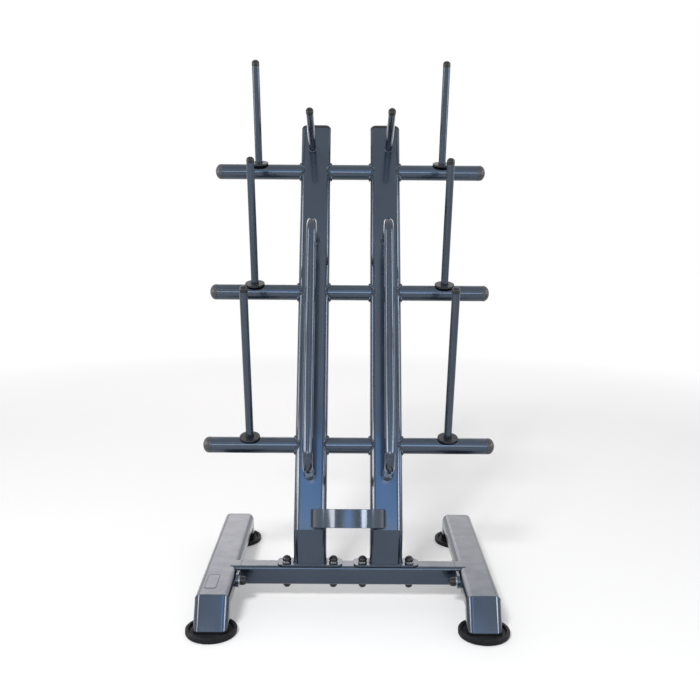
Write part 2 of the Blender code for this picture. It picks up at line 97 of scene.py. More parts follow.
# Plates under the stubs
PLATE_LENGTH = 0.203
PLATE_WIDTH = 0.060
PLATE_THICKNESS = 0.006
PLATE_CORNER = 0.018
BOLT_SPACING = 0.1464

# Flanges at the cross tube's ends: round-ended plates with a lip over the leg's inner edge
FLANGE_THICKNESS = 0.008
FLANGE_END_RADIUS = 0.020
FLANGE_AXIS_HEIGHT = 0.082
FLANGE_BOLT_Y = {"front": -0.071, "rear": 0.048}
FLANGE_LIP_REACH = 0.024

# Bolts
BOLT_RADIUS = 0.005
BOLT_HOLE_RADIUS = 0.0053
LOW_COVER_RADIUS = 0.0127
LOW_COVER_HEIGHT = 0.019
INSERT_RADIUS = 0.0070
INSERT_LENGTH = 0.006
WASHER_RADIUS = 0.0145
WASHER_THICKNESS = 0.0025
NUT_CORNER_RADIUS = 0.0098
NUT_TOP = 0.009
BOLT_END = 0.012
BOLT_CAP_RADIUS = 0.014
BOLT_CAP_BASE = 0.0045
BOLT_CAP_TOP = 0.020
BOLT_CAP_BORE_RADIUS = 0.0105
BOLT_CAP_BORE_TOP = 0.0135
FLANGE_CAP_TOP = 0.027

# Round bars, measured along the uprights from the mitre
BAR_HEIGHTS = {"lower": 0.262, "middle": 0.774, "upper": 1.2095}
BAR_RADIUS = 0.026
BAR_WALL = 0.0025
BAR_HOLE_RADIUS = 0.0263
BAR_OVERALL = 0.930
BAR_CAP_LENGTH = 0.025
BAR_CAP_STRAIGHT = 0.006
BAR_CAP_PLUG_LENGTH = 0.020

# Plate pegs
PEG_X = 0.315
PEG_LEAN = math.radians(14.5)
PEG_LENGTHS = {"lower": 0.514, "middle": 0.426, "upper": 0.345}
PEG_RADIUS = 0.0125
PEG_TIP_DOME = 0.010
PEG_TIP_LENGTH = 0.018
PEG_TIP_SEAM = 0.0004
PEG_NECK_INSET = 0.0012
COLLAR_RADIUS = 0.0325
COLLAR_BORE_RADIUS = 0.0128
COLLAR_THICKNESS = 0.006
COLLAR_EDGE = 0.001

# Upper pegs
TOP_PEG_X = 0.131
TOP_PEG_HEIGHT = 1.2855
TOP_PEG_LENGTH = 0.265

# Handles
HANDLE_X = 0.1215
HANDLE_LOW = 0.167
HANDLE_HIGH = 0.949
HANDLE_REACH = 0.225
HANDLE_BEND = 0.048
HANDLE_RADIUS = 0.015

# Cradle
CRADLE_WIDTH = 0.231
CRADLE_STRAIGHT = 0.008
CRADLE_STRIP_THICKNESS = 0.005
CRADLE_STRIP_HEIGHT = 0.056
CRADLE_LOW = 0.002
CRADLE_SLOPE = 0.064
CRADLE_WELD_MARGIN = 0.003

# Weld beads
BEAD_RADIUS = 0.0050
SMALL_BEAD_RADIUS = 0.0026
FLUSH_BEAD_RADIUS = 0.0014
FLUSH_BEAD_DEPTH = 0.0010
BEAD_PITCH = 0.0032
BEAD_RIPPLE = 0.10
BEAD_STEPS_PER_PITCH = 4
BEAD_SIDES = 10

# Blank plate on the left leg, with a black rim that paints the shade along its edges
BADGE_Y = -0.137
BADGE_X_SHIFT = -0.0115
BADGE_WIDTH = 0.034
BADGE_LENGTH = 0.095
BADGE_CORNER = 0.007
BADGE_HEIGHT = 0.0007
BADGE_SHADE_RIM_RADIUS = 0.0011
BADGE_SHADE_RIM_SIDES = 8
BADGE_GLOSS = 0.08

# Widths of the rounded edges. The collar's is with the plate pegs.
TUBE_EDGE = 0.0004
UPRIGHT_CAP_RIM_EDGE = 0.0005
PLATE_EDGE = 0.0011
FLANGE_EDGE = 0.0009
FOOT_PAD_EDGE = 0.0008
FITTING_EDGE = 0.0004
NUT_EDGE = 0.0003
BAR_CAP_EDGE = 0.0006
CRADLE_EDGE = 0.0010
BADGE_EDGE = 0.0002

# Steps of the round shapes
CORNER_STEPS = 10
BOLT_STEPS = 36
ROD_STEPS = 40
BAR_STEPS = 72
FOOT_STEPS = 96
PLATE_END_STEPS = 28
DOME_STEPS = 10
CRADLE_STEPS = 72
BEND_STEPS = 18
SMOOTH_ANGLE = math.radians(35.0)
MERGE_DISTANCE = 1e-6

QUARTER_TURN = math.pi / 2
SIDES = {"left": -1, "right": 1}
ENDS = {"front": -1, "rear": 1}
CROSS_TOP = BASE_AXIS_HEIGHT + CROSS_SIZE / 2
STUB_BASE = CROSS_TOP + PLATE_THICKNESS + 2 * GAP
POST_BASE = FOOT_PAD_HEIGHT + GAP
FACE = TUBE_DEPTH / 2 + GAP
FLANGE_X = LEG_X - TUBE_WIDTH / 2 - GAP - FLANGE_THICKNESS
UPRIGHT_X = UPRIGHT_SPACING / 2


def shift(x, y, z):
    return Matrix.Translation((x, y, z))


def turn(angle, axis):
    return Matrix.Rotation(angle, 4, axis)


BASE = shift(0, CROSS_AXIS_Y, 0)
LEAN = BASE @ shift(0, 0, MITRE_HEIGHT) @ turn(-UPRIGHT_LEAN, "X")


class Shader:
    """A material's node tree, with short calls for the nodes that the finishes share."""

    def __init__(self, name):
        self.material = bpy.data.materials.new(name)
        self.material.use_nodes = True
        self.tree = self.material.node_tree
        self.surface = self.tree.nodes["Principled BSDF"]
        self.place = self.node("ShaderNodeTexCoord").outputs["Object"]

    def node(self, kind, **settings):
        item = self.tree.nodes.new(kind)
        for name, value in settings.items():
            setattr(item, name, value)
        return item

    def feed(self, socket, value):
        """Link an output to the socket, or set its value."""
        if isinstance(value, bpy.types.NodeSocket):
            self.tree.links.new(value, socket)
        else:
            socket.default_value = value

    def set(self, **values):
        """Set the surface's sockets. An underscore stands for a space."""
        for name, value in values.items():
            self.feed(self.surface.inputs[name.replace("_", " ")], value)

    def noise(self, scale, detail=2.0, stretch=None):
        texture = self.node("ShaderNodeTexNoise")
        place = self.place
        if stretch:
            mapping = self.node("ShaderNodeMapping")
            self.feed(mapping.inputs["Vector"], place)
            mapping.inputs["Scale"].default_value = stretch
            place = mapping.outputs["Vector"]
        self.feed(texture.inputs["Vector"], place)
        texture.inputs["Scale"].default_value = scale
        texture.inputs["Detail"].default_value = detail
        return texture.outputs["Fac"]

    def cells(self, scale):
        """A random number for each small cell."""
        texture = self.node("ShaderNodeTexVoronoi")
        self.feed(texture.inputs["Vector"], self.place)
        texture.inputs["Scale"].default_value = scale
        split = self.node("ShaderNodeSeparateColor")
        self.feed(split.inputs["Color"], texture.outputs["Color"])
        return split.outputs["Red"]

    def spread(self, value, low, high, start=0.3, end=0.7):
        """Map a value from start..end to low..high, held at both ends."""
        item = self.node("ShaderNodeMapRange")
        for name, number in (("From Min", start), ("From Max", end), ("To Min", low), ("To Max", high)):
            item.inputs[name].default_value = number
        self.feed(item.inputs["Value"], value)
        return item.outputs["Result"]

    def math(self, operation, *values):
        item = self.node("ShaderNodeMath", operation=operation)
        for socket, value in zip(item.inputs, values):
            self.feed(socket, value)
        return item.outputs["Value"]

    def mix(self, factor, first, second):
        item = self.node("ShaderNodeMix", data_type="RGBA")
        self.feed(item.inputs["Factor"], factor)
        self.feed(item.inputs["A"], first)
        self.feed(item.inputs["B"], second)
        return item.outputs["Result"]

    def edges(self, radius):
        """1 on sharp edges and 0 on flat faces, from how far a softened normal turns away."""
        softened = self.node("ShaderNodeBevel", samples=4)
        softened.inputs["Radius"].default_value = radius
        normal = self.node("ShaderNodeNewGeometry").outputs["Normal"]
        product = self.node("ShaderNodeVectorMath", operation="DOT_PRODUCT")
        self.feed(product.inputs[0], softened.outputs["Normal"])
        self.feed(product.inputs[1], normal)
        return self.spread(product.outputs["Value"], 1.0, 0.0, 0.86, 0.985)

    def upward(self):
        """1 where the surface faces up and 0 where it is upright."""
        split = self.node("ShaderNodeSeparateXYZ")
        self.feed(split.inputs["Vector"], self.node("ShaderNodeNewGeometry").outputs["Normal"])
        return self.spread(split.outputs["Z"], 0.0, 1.0, 0.70, 0.98)

    def bump(self, *layers):
        """Bump layers of (height, depth in metres), from the coarsest to the finest."""
        normal = None
        for height, depth in layers:
            item = self.node("ShaderNodeBump")
            self.feed(item.inputs["Height"], height)
            item.inputs["Distance"].default_value = depth
            if normal:
                self.feed(item.inputs["Normal"], normal)
            normal = item.outputs["Normal"]
        self.set(Normal=normal)


def shade(colour, factor=1.0):
    return (*(channel * factor for channel in colour), 1.0)


PAINT_COLOUR = (0.038, 0.055, 0.081)
PLASTIC_COLOUR = (0.010, 0.011, 0.013)
# Bar caps: the black plastic made lighter, a painted highlight for their brighter look
BAR_CAP_HIGHLIGHT_COLOUR = (0.055, 0.056, 0.061)
RUBBER_COLOUR = (0.010, 0.010, 0.012)
DUSTY_RUBBER_COLOUR = (0.08, 0.08, 0.085)
STEEL_COLOUR = (0.50, 0.51, 0.53)
WORN_AND_HIGHLIGHT_COLOUR = (0.20, 0.215, 0.24)
DUST_COLOUR = (0.34, 0.34, 0.35)
WHITE = (1.0, 1.0, 1.0)


def frame_paint(name="frame_paint", gloss=0.0):
    """Satin graphite powder coat: metal flake, orange peel, faint wipe marks and lighter edges, partly wear
    and partly painted highlight.
    """
    paint = Shader(name)
    cloud = paint.noise(5.0, 3.0)
    flake = paint.cells(2600.0)
    colour = paint.mix(
        paint.spread(cloud, 0.0, 1.0), shade(PAINT_COLOUR, 0.90), shade(PAINT_COLOUR, 1.10)
    )
    colour = paint.mix(paint.spread(flake, 0.0, 0.25, 0.0, 1.0), colour, shade(PAINT_COLOUR, 1.4))
    patches = paint.spread(paint.noise(90.0, 4.0), 0.15, 0.8, 0.45, 0.6)
    # Lighter sharp edges: patchy wear plus a painted highlight along every edge
    worn_and_highlit_edges = paint.math("MULTIPLY", paint.edges(0.0012), patches)
    colour = paint.mix(paint.math("MULTIPLY", worn_and_highlit_edges, 0.5), colour, shade(WORN_AND_HIGHLIGHT_COLOUR))
    specks = paint.spread(paint.noise(22.0, 8.0), 0.0, 0.10, 0.36, 0.64)
    dust = paint.math("MULTIPLY", paint.upward(), specks)
    colour = paint.mix(dust, colour, shade(DUST_COLOUR))
    wiped = paint.noise(14.0, 5.0, (1.0, 1.0, 0.35))
    rough = paint.spread(wiped, 0.16 - gloss, 0.21 - gloss, 0.35, 0.65)
    paint.set(
        Base_Color=colour,
        Metallic=paint.math("MULTIPLY_ADD", dust, -0.8, 0.8),
        Roughness=paint.math("ADD", rough, paint.math("MULTIPLY", worn_and_highlit_edges, 0.08)),
        Specular_Tint=shade((0.8, 0.8, 0.8)),
        Coat_Weight=0.5,
        Coat_Roughness=0.04,
    )
    paint.bump((paint.noise(330.0, 1.0), 0.000005), (flake, 0.0000012))
    return paint.material


def moulded_plastic(name, base):
    """Moulded plastic with a fine spark-eroded grain and lighter edges, partly rubbed wear and partly painted
    highlight.
    """
    plastic = Shader(name)
    grain = plastic.noise(1500.0, 2.0)
    cloud = plastic.noise(40.0, 3.0)
    colour = plastic.mix(plastic.spread(cloud, 0.0, 1.0), shade(base, 0.85), shade(base, 1.25))
    # Lighter edges: rubbed wear plus a painted highlight along every edge
    rubbed_and_highlit_edges = plastic.math("MULTIPLY", plastic.edges(0.0010), 0.5)
    plastic.set(
        Base_Color=plastic.mix(rubbed_and_highlit_edges, colour, shade(base, 2.5)),
        Roughness=plastic.spread(cloud, 0.24, 0.34),
        Specular_IOR_Level=0.38,
    )
    plastic.bump((grain, 0.00002))
    return plastic.material


def foot_rubber():
    """Dull moulded rubber, dusty where it faces up."""
    rubber = Shader("foot_rubber")
    specks = rubber.spread(rubber.noise(60.0, 6.0), 0.1, 0.7, 0.4, 0.65)
    dust = rubber.math("MULTIPLY", rubber.upward(), specks)
    rubber.set(
        Base_Color=rubber.mix(
            rubber.math("MULTIPLY", dust, 0.25), shade(RUBBER_COLOUR), shade(DUSTY_RUBBER_COLOUR)
        ),
        Roughness=rubber.spread(rubber.noise(35.0, 3.0), 0.48, 0.62),
        Specular_IOR_Level=0.15,
    )
    rubber.bump((rubber.noise(260.0, 2.0), 0.00004), (rubber.noise(1300.0, 2.0), 0.00002))
    return rubber.material


def bolt_steel():
    """Bright zinc plate with fine turning marks."""
    steel = Shader("bolt_steel")
    cloud = steel.noise(160.0, 4.0)
    steel.set(
        Base_Color=steel.mix(
            steel.spread(cloud, 0.0, 1.0), shade(STEEL_COLOUR, 0.85), shade(STEEL_COLOUR, 1.25)
        ),
        Metallic=1.0,
        Roughness=steel.spread(cloud, 0.22, 0.38),
    )
    steel.bump((steel.noise(700.0, 2.0, (1.0, 1.0, 6.0)), 0.00002))
    return steel.material


FINISHES = {
    "frame_paint": frame_paint(),
    "black_plastic": moulded_plastic("black_plastic", PLASTIC_COLOUR),
    "foot_rubber": foot_rubber(),
    "bolt_steel": bolt_steel(),
}


def piece(name, bm, matrix, slot, *replaced, edge=0.0, material=None):
    """One piece from a bmesh. An edge above 0 rounds its sharp edges to that width."""
    bmesh.ops.remove_doubles(bm, verts=bm.verts, dist=MERGE_DISTANCE)
    bmesh.ops.recalc_face_normals(bm, faces=bm.faces)
    bm.transform(matrix)
    mesh = bpy.data.meshes.new(name)
    bm.to_mesh(mesh)
    bm.free()
    mesh.shade_smooth()
    mesh.set_sharp_from_angle(angle=SMOOTH_ANGLE)
    mesh.materials.append(material or FINISHES[slot])
    item = bpy.data.objects.new(name, mesh)
    bpy.context.collection.objects.link(item)
    if edge:
        bevel = item.modifiers.new("edge", "BEVEL")
        bevel.width = edge
        bevel.segments = 2
        bevel.limit_method = "ANGLE"
        bevel.angle_limit = SMOOTH_ANGLE
        bevel.use_clamp_overlap = True
        normals = item.modifiers.new("flat_faces", "WEIGHTED_NORMAL")
        normals.keep_sharp = True
    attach(item, "root")
    if replaced:
        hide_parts(*replaced)


def outline(width, depth, corner, steps=CORNER_STEPS):
    """Counter-clockwise points of a rectangle with round corners."""
    points = []
    for quarter, (side_x, side_y) in enumerate(((1, 1), (-1, 1), (-1, -1), (1, -1))):
        centre = Vector((side_x * (width / 2 - corner), side_y * (depth / 2 - corner)))
        for step in range(steps + 1):
            angle = QUARTER_TURN * (quarter + step / steps)
            points.append(centre + corner * Vector((math.cos(angle), math.sin(angle))))
    return points


def ring(bm, points, height, slope=0.0):
    """A closed loop of vertices, level or sloping along Y."""
    return [bm.verts.new((x, y, height + slope * y)) for x, y in points]


def skin(bm, rings):
    """Quads from each ring to the next."""
    for near, far in zip(rings, rings[1:]):
        for index in range(len(near)):
            after = (index + 1) % len(near)
            bm.faces.new((near[index], near[after], far[after], far[index]))


def box_tube(width, depth, wall, corner, low, high):
    """Hollow box tube along Z. Each end is a height on the axis and a slope along Y."""
    bm = bmesh.new()
    outer = outline(width, depth, corner)
    inner = outline(width - 2 * wall, depth - 2 * wall, corner - wall)
    rings = [ring(bm, outer, *low), ring(bm, outer, *high), ring(bm, inner, *high), ring(bm, inner, *low)]
    skin(bm, rings + rings[:1])
    return bm


def turned(profile, steps, closed=False):
    """A profile of radii and heights, spun about Z. An open profile starts and ends on the axis."""
    bm = bmesh.new()
    verts = [bm.verts.new((radius, 0.0, height)) for radius, height in profile]
    edges = [bm.edges.new(pair) for pair in zip(verts, verts[1:])]
    if closed:
        edges.append(bm.edges.new((verts[-1], verts[0])))
    bmesh.ops.spin(
        bm, geom=verts + edges, axis=(0, 0, 1), cent=(0, 0, 0), angle=math.tau, steps=steps, use_merge=True
    )
    return bm


def dome(radius, low, high, steps=DOME_STEPS):
    """Radii and heights of a quarter ellipse from a wall at the low height to the axis."""
    points = []
    for step in range(steps):
        angle = QUARTER_TURN * step / steps
        points.append((radius * math.cos(angle), low + (high - low) * math.sin(angle)))
    return points + [(0.0, high)]


def cylinders(radius, length, steps, centres, axis_turn=None):
    """Closed cylinders about the given centres, along Z or along a turned axis."""
    bm = bmesh.new()
    for centre in centres:
        matrix = Matrix.Translation(centre)
        if axis_turn:
            matrix = matrix @ axis_turn
        bmesh.ops.create_cone(
            bm, cap_ends=True, segments=steps, radius1=radius, radius2=radius, depth=length, matrix=matrix
        )
    return bm


def combine(operation, body, other):
    """The body joined with the other shape, or with the other's volume taken out."""
    items = []
    for name, bm in (("body", body), ("other", other)):
        bmesh.ops.recalc_face_normals(bm, faces=bm.faces)
        mesh = bpy.data.meshes.new(name)
        bm.to_mesh(mesh)
        bm.free()
        item = bpy.data.objects.new(name, mesh)
        bpy.context.collection.objects.link(item)
        items.append(item)
    modifier = items[0].modifiers.new("combined", "BOOLEAN")
    modifier.operation = operation
    modifier.solver = "EXACT"
    modifier.object = items[1]
    result = bmesh.new()
    result.from_object(items[0], bpy.context.evaluated_depsgraph_get())
    for item in items:
        bpy.data.meshes.remove(item.data)
    return result


def subtract(body, cutter):
    return combine("DIFFERENCE", body, cutter)


def sweep(points, radii, axis, sides, closed=False):
    """Round tube along a path that stays about square to the axis."""
    bm = bmesh.new()
    last = len(points) - 1
    rings = []
    for index, (point, radius) in enumerate(zip(points, radii)):
        before = points[index - 1] if closed or index else point
        after = points[0 if index == last and closed else min(index + 1, last)]
        along = (after - before).normalized()
        side = along.cross(axis).normalized()
        up = side.cross(along)
        row = []
        for step in range(sides):
            angle = math.tau * step / sides
            row.append(bm.verts.new(point + radius * (math.cos(angle) * side + math.sin(angle) * up)))
        rings.append(row)
    skin(bm, rings + rings[:1] if closed else rings)
    if not closed:
        bm.faces.new(rings[0])
        bm.faces.new(rings[-1])
    return bm


def spaced(points, count, closed):
    """Evenly spaced points along a path, count of them round a closed one."""
    path = points + points[:1] if closed else points
    lengths = [(after - before).length for before, after in zip(path, path[1:])]
    total = sum(lengths)
    result = []
    index = 0
    passed = 0.0
    for step in range(count if closed else count + 1):
        target = total * step / count
        while index < len(lengths) - 1 and passed + lengths[index] < target:
            passed += lengths[index]
            index += 1
        result.append(path[index].lerp(path[index + 1], (target - passed) / lengths[index]))
    return result


def path_length(points, closed):
    path = points + points[:1] if closed else points
    return sum((after - before).length for before, after in zip(path, path[1:]))


def weld(name, points, axis, matrix, radius=BEAD_RADIUS, closed=True, ripple=BEAD_RIPPLE):
    """A painted weld bead along a path, with the ripples of its passes."""
    pitches = round(path_length(points, closed) / BEAD_PITCH)
    count = pitches * BEAD_STEPS_PER_PITCH
    path = spaced(points, count, closed)
    radii = []
    for step in range(len(path)):
        wave = math.cos(math.tau * step / BEAD_STEPS_PER_PITCH)
        radii.append(radius * (1 + ripple * wave))
    piece(name, sweep(path, radii, Vector(axis), BEAD_SIDES, closed), matrix, "frame_paint")


def circle(radius, steps=BAR_STEPS):
    """Points of a circle about Z."""
    points = []
    for step in range(steps):
        angle = math.tau * step / steps
        points.append(Vector((radius * math.cos(angle), radius * math.sin(angle), 0.0)))
    return points


def tube_loop(width, depth, corner, height=0.0, slope=0.0):
    """Points round a box tube, level or sloping along Y."""
    return [Vector((x, y, height + slope * y)) for x, y in outline(width, depth, corner)]


def flush_loop(height, slope):
    """Points just inside a box tube's skin, for a bead that is ground almost flush."""
    inset = FLUSH_BEAD_DEPTH
    return tube_loop(TUBE_WIDTH - 2 * inset, TUBE_DEPTH - 2 * inset, TUBE_CORNER - inset, height, slope)


def uprights():
    slope = math.tan(UPRIGHT_LEAN / 2)
    along_x = turn(QUARTER_TURN, "Y")
    centres = [(0, 0, height) for height in BAR_HEIGHTS.values()]
    for side, sign in SIDES.items():
        place = LEAN @ shift(sign * UPRIGHT_X, 0, 0)
        high = (UPRIGHT_LENGTH, 0.0)
        tube = box_tube(TUBE_WIDTH, TUBE_DEPTH, TUBE_WALL, TUBE_CORNER, (GAP / 2, slope), high)
        tube = subtract(tube, cylinders(BAR_HOLE_RADIUS, 2 * TUBE_WIDTH, BAR_STEPS, centres, along_x))
        piece(f"{side}_upright_tube", tube, place, "frame_paint", f"{side}_upright", edge=TUBE_EDGE)
        loop = flush_loop(0.0, slope)
        weld(f"{side}_upright_mitre_weld", loop, (0, 0, 1), place, FLUSH_BEAD_RADIUS, ripple=0.0)


def upright_caps():
    plug_inset = TUBE_WALL + GAP
    plug = outline(TUBE_WIDTH - 2 * plug_inset, TUBE_DEPTH - 2 * plug_inset, TUBE_CORNER - plug_inset)
    rim = outline(TUBE_WIDTH, TUBE_DEPTH, TUBE_CORNER)
    low = UPRIGHT_LENGTH + GAP
    edge_start = low + UPRIGHT_CAP_HEIGHT - UPRIGHT_CAP_EDGE
    for side, sign in SIDES.items():
        bm = bmesh.new()
        rings = [ring(bm, plug, low - CAP_PLUG_LENGTH), ring(bm, plug, low), ring(bm, rim, low)]
        for step in range(DOME_STEPS + 1):
            angle = QUARTER_TURN * step / DOME_STEPS
            inset = UPRIGHT_CAP_EDGE * (1 - math.cos(angle))
            points = outline(TUBE_WIDTH - 2 * inset, TUBE_DEPTH - 2 * inset, TUBE_CORNER - inset)
            rings.append(ring(bm, points, edge_start + UPRIGHT_CAP_EDGE * math.sin(angle)))
        skin(bm, rings)
        bm.faces.new(rings[0])
        bm.faces.new(rings[-1])
        place = LEAN @ shift(sign * UPRIGHT_X, 0, 0)
        node = f"{side}_upright_cap"
        piece(f"{side}_upright_end_cap", bm, place, "black_plastic", node, edge=UPRIGHT_CAP_RIM_EDGE)


def stubs():
    slope = math.tan(UPRIGHT_LEAN / 2)
    for side, sign in SIDES.items():
        place = BASE @ shift(sign * UPRIGHT_X, 0, 0)
        high = (MITRE_HEIGHT - GAP / 2, -slope)
        tube = box_tube(TUBE_WIDTH, TUBE_DEPTH, TUBE_WALL, TUBE_CORNER, (STUB_BASE, 0.0), high)
        piece(f"{side}_stub_tube", tube, place, "frame_paint", f"{side}_upright_stub", edge=TUBE_EDGE)
        foot = tube_loop(TUBE_WIDTH, TUBE_DEPTH, TUBE_CORNER, STUB_BASE)
        weld(f"{side}_stub_foot_weld", foot, (0, 0, 1), place, SMALL_BEAD_RADIUS)


def rounded_block(width, depth, corner, low, high):
    bm = bmesh.new()
    points = outline(width, depth, corner)
    rings = [ring(bm, points, low), ring(bm, points, high)]
    skin(bm, rings)
    for end in rings:
        bm.faces.new(end)
    return bm


def base_plates():
    centres = [(way * BOLT_SPACING / 2, 0, PLATE_THICKNESS / 2) for way in ENDS.values()]
    for side, sign in SIDES.items():
        place = BASE @ shift(sign * UPRIGHT_X, 0, CROSS_TOP + GAP)
        block = rounded_block(PLATE_LENGTH, PLATE_WIDTH, PLATE_CORNER, 0.0, PLATE_THICKNESS)
        plate = subtract(block, cylinders(BOLT_HOLE_RADIUS, 3 * PLATE_THICKNESS, BOLT_STEPS, centres))
        piece(f"{side}_foot_plate", plate, place, "frame_paint", f"{side}_base_plate", edge=PLATE_EDGE)


def obround_plate():
    """Round-ended plate along X, from the front bolt to the rear one, from Z = 0 up."""
    bm = bmesh.new()
    points = []
    for half, centre_x in enumerate((FLANGE_BOLT_Y["rear"], FLANGE_BOLT_Y["front"])):
        for step in range(PLATE_END_STEPS + 1):
            angle = math.pi * (half + step / PLATE_END_STEPS) - QUARTER_TURN
            reach = FLANGE_END_RADIUS * Vector((math.cos(angle), math.sin(angle)))
            points.append((centre_x + reach.x, reach.y))
    rings = [ring(bm, points, 0.0), ring(bm, points, FLANGE_THICKNESS)]
    skin(bm, rings)
    for end in rings:
        bm.faces.new(end)
    return bm


def end_flanges():
    """Each flange has the cross tube's section at its middle, cut to fit over the leg."""
    centres = [(y, 0, FLANGE_THICKNESS / 2) for y in FLANGE_BOLT_Y.values()]
    upright_turn = turn(QUARTER_TURN, "Z") @ turn(QUARTER_TURN, "X")
    leg_top = BASE_AXIS_HEIGHT + TUBE_DEPTH / 2 + GAP
    lip_length = FLANGE_THICKNESS + FLANGE_LIP_REACH
    for side, sign in SIDES.items():
        low_x = FLANGE_X if sign > 0 else -FLANGE_X - FLANGE_THICKNESS
        place = BASE @ shift(low_x, 0, FLANGE_AXIS_HEIGHT) @ upright_turn
        plate = obround_plate()
        plate.transform(place)
        middle = rounded_block(CROSS_SIZE, CROSS_SIZE, CROSS_CORNER, 0.0, lip_length)
        tube_end = BASE @ shift(sign * FLANGE_X, 0, BASE_AXIS_HEIGHT)
        middle.transform(tube_end @ turn(sign * QUARTER_TURN, "Y"))
        leg_width = TUBE_WIDTH + 2 * GAP
        leg = rounded_block(leg_width, 2 * CROSS_SIZE, TUBE_CORNER + GAP, -CROSS_SIZE, CROSS_SIZE)
        leg.transform(BASE @ shift(sign * LEG_X, 0, leg_top - CROSS_SIZE) @ turn(QUARTER_TURN, "X"))
        holes = cylinders(BOLT_HOLE_RADIUS, 3 * FLANGE_THICKNESS, BOLT_STEPS, centres)
        holes.transform(place)
        flange = subtract(subtract(combine("UNION", plate, middle), leg), holes)
        node = f"{side}_end_flange"
        piece(f"{side}_flange_plate", flange, Matrix(), "frame_paint", node, edge=FLANGE_EDGE)
        loop = tube_loop(CROSS_SIZE, CROSS_SIZE, CROSS_CORNER)
        weld(f"{side}_flange_weld", loop, (0, 0, 1), tube_end @ turn(QUARTER_TURN, "Y"), FLUSH_BEAD_RADIUS)


def base_bolt_places():
    """X of each vertical bolt, by side and by place about its upright."""
    for side, sign in SIDES.items():
        for place_name, way in (("outer", 1), ("inner", -1)):
            yield f"{side}_{place_name}", sign * (UPRIGHT_X + way * BOLT_SPACING / 2)


def cross_tube():
    half = FLANGE_X - GAP
    tube = box_tube(CROSS_SIZE, CROSS_SIZE, CROSS_WALL, CROSS_CORNER, (-half, 0.0), (half, 0.0))
    along_x = turn(QUARTER_TURN, "Y")
    centres = [(0, 0, x) for _, x in base_bolt_places()]
    holes = cylinders(BOLT_HOLE_RADIUS, 2 * CROSS_SIZE, BOLT_STEPS, centres, along_x)
    place = BASE @ shift(0, 0, BASE_AXIS_HEIGHT) @ along_x
    piece("cross_member", subtract(tube, holes), place, "frame_paint", "cross_tube", edge=TUBE_EDGE)


def leg_tubes():
    slope = math.tan(math.pi / 4 - POST_SPLAY / 2)
    for side, sign in SIDES.items():
        place = BASE @ shift(sign * LEG_X, 0, BASE_AXIS_HEIGHT) @ turn(-QUARTER_TURN, "X")
        low = (LEG_FRONT_Y + GAP / 2, slope)
        high = (LEG_REAR_Y - GAP / 2, -slope)
        tube = box_tube(TUBE_WIDTH, TUBE_DEPTH, TUBE_WALL, TUBE_CORNER, low, high)
        hole_y = BASE_AXIS_HEIGHT - FLANGE_AXIS_HEIGHT
        centres = [(-sign * TUBE_WIDTH / 2, hole_y, y) for y in FLANGE_BOLT_Y.values()]
        holes = cylinders(BOLT_HOLE_RADIUS, TUBE_CORNER, BOLT_STEPS, centres, turn(QUARTER_TURN, "Y"))
        tube = subtract(tube, holes)
        piece(f"{side}_leg_beam", tube, place, "frame_paint", f"{side}_leg_tube", edge=TUBE_EDGE)
        for end, corner_y, lean in (("front", LEG_FRONT_Y, slope), ("rear", LEG_REAR_Y, -slope)):
            loop = flush_loop(corner_y, lean)
            weld(f"{side}_{end}_leg_mitre_weld", loop, (0, 0, 1), place, FLUSH_BEAD_RADIUS, ripple=0.0)


def foot_y(way):
    """Y of a foot's centre, under the cut end of its post."""
    corner_y = LEG_FRONT_Y if way < 0 else LEG_REAR_Y
    return corner_y + way * (BASE_AXIS_HEIGHT - POST_BASE) * math.tan(POST_SPLAY)


def leg_posts():
    slope = math.tan(math.pi / 4 - POST_SPLAY / 2)
    foot_level = (POST_BASE - BASE_AXIS_HEIGHT) / math.cos(POST_SPLAY)
    for side, sign in SIDES.items():
        for end, way in ENDS.items():
            corner_y = LEG_FRONT_Y if way < 0 else LEG_REAR_Y
            splay = turn(0.0 if way < 0 else math.pi, "Z") @ turn(-POST_SPLAY, "X")
            place = BASE @ shift(sign * LEG_X, corner_y, BASE_AXIS_HEIGHT) @ splay
            low = (foot_level, math.tan(POST_SPLAY))
            tube = box_tube(TUBE_WIDTH, TUBE_DEPTH, TUBE_WALL, TUBE_CORNER, low, (-GAP / 2, -slope))
            node = f"{side}_{end}_leg_post"
            piece(f"{side}_{end}_post_tube", tube, place, "frame_paint", node, edge=TUBE_EDGE)


def rounded_steps(points, radius, steps=4):
    """A profile with each inner corner of it rounded by an arc-like curve."""
    result = [Vector(points[0])]
    for before, corner, after in zip(points, points[1:], points[2:]):
        corner = Vector(corner)
        near = Vector(before) - corner
        far = Vector(after) - corner
        reach = min(radius, near.length / 2, far.length / 2)
        start = corner + near.normalized() * reach
        end = corner + far.normalized() * reach
        for step in range(steps + 1):
            share = step / steps
            result.append((1 - share) ** 2 * start + 2 * share * (1 - share) * corner + share**2 * end)
    return result + [Vector(points[-1])]


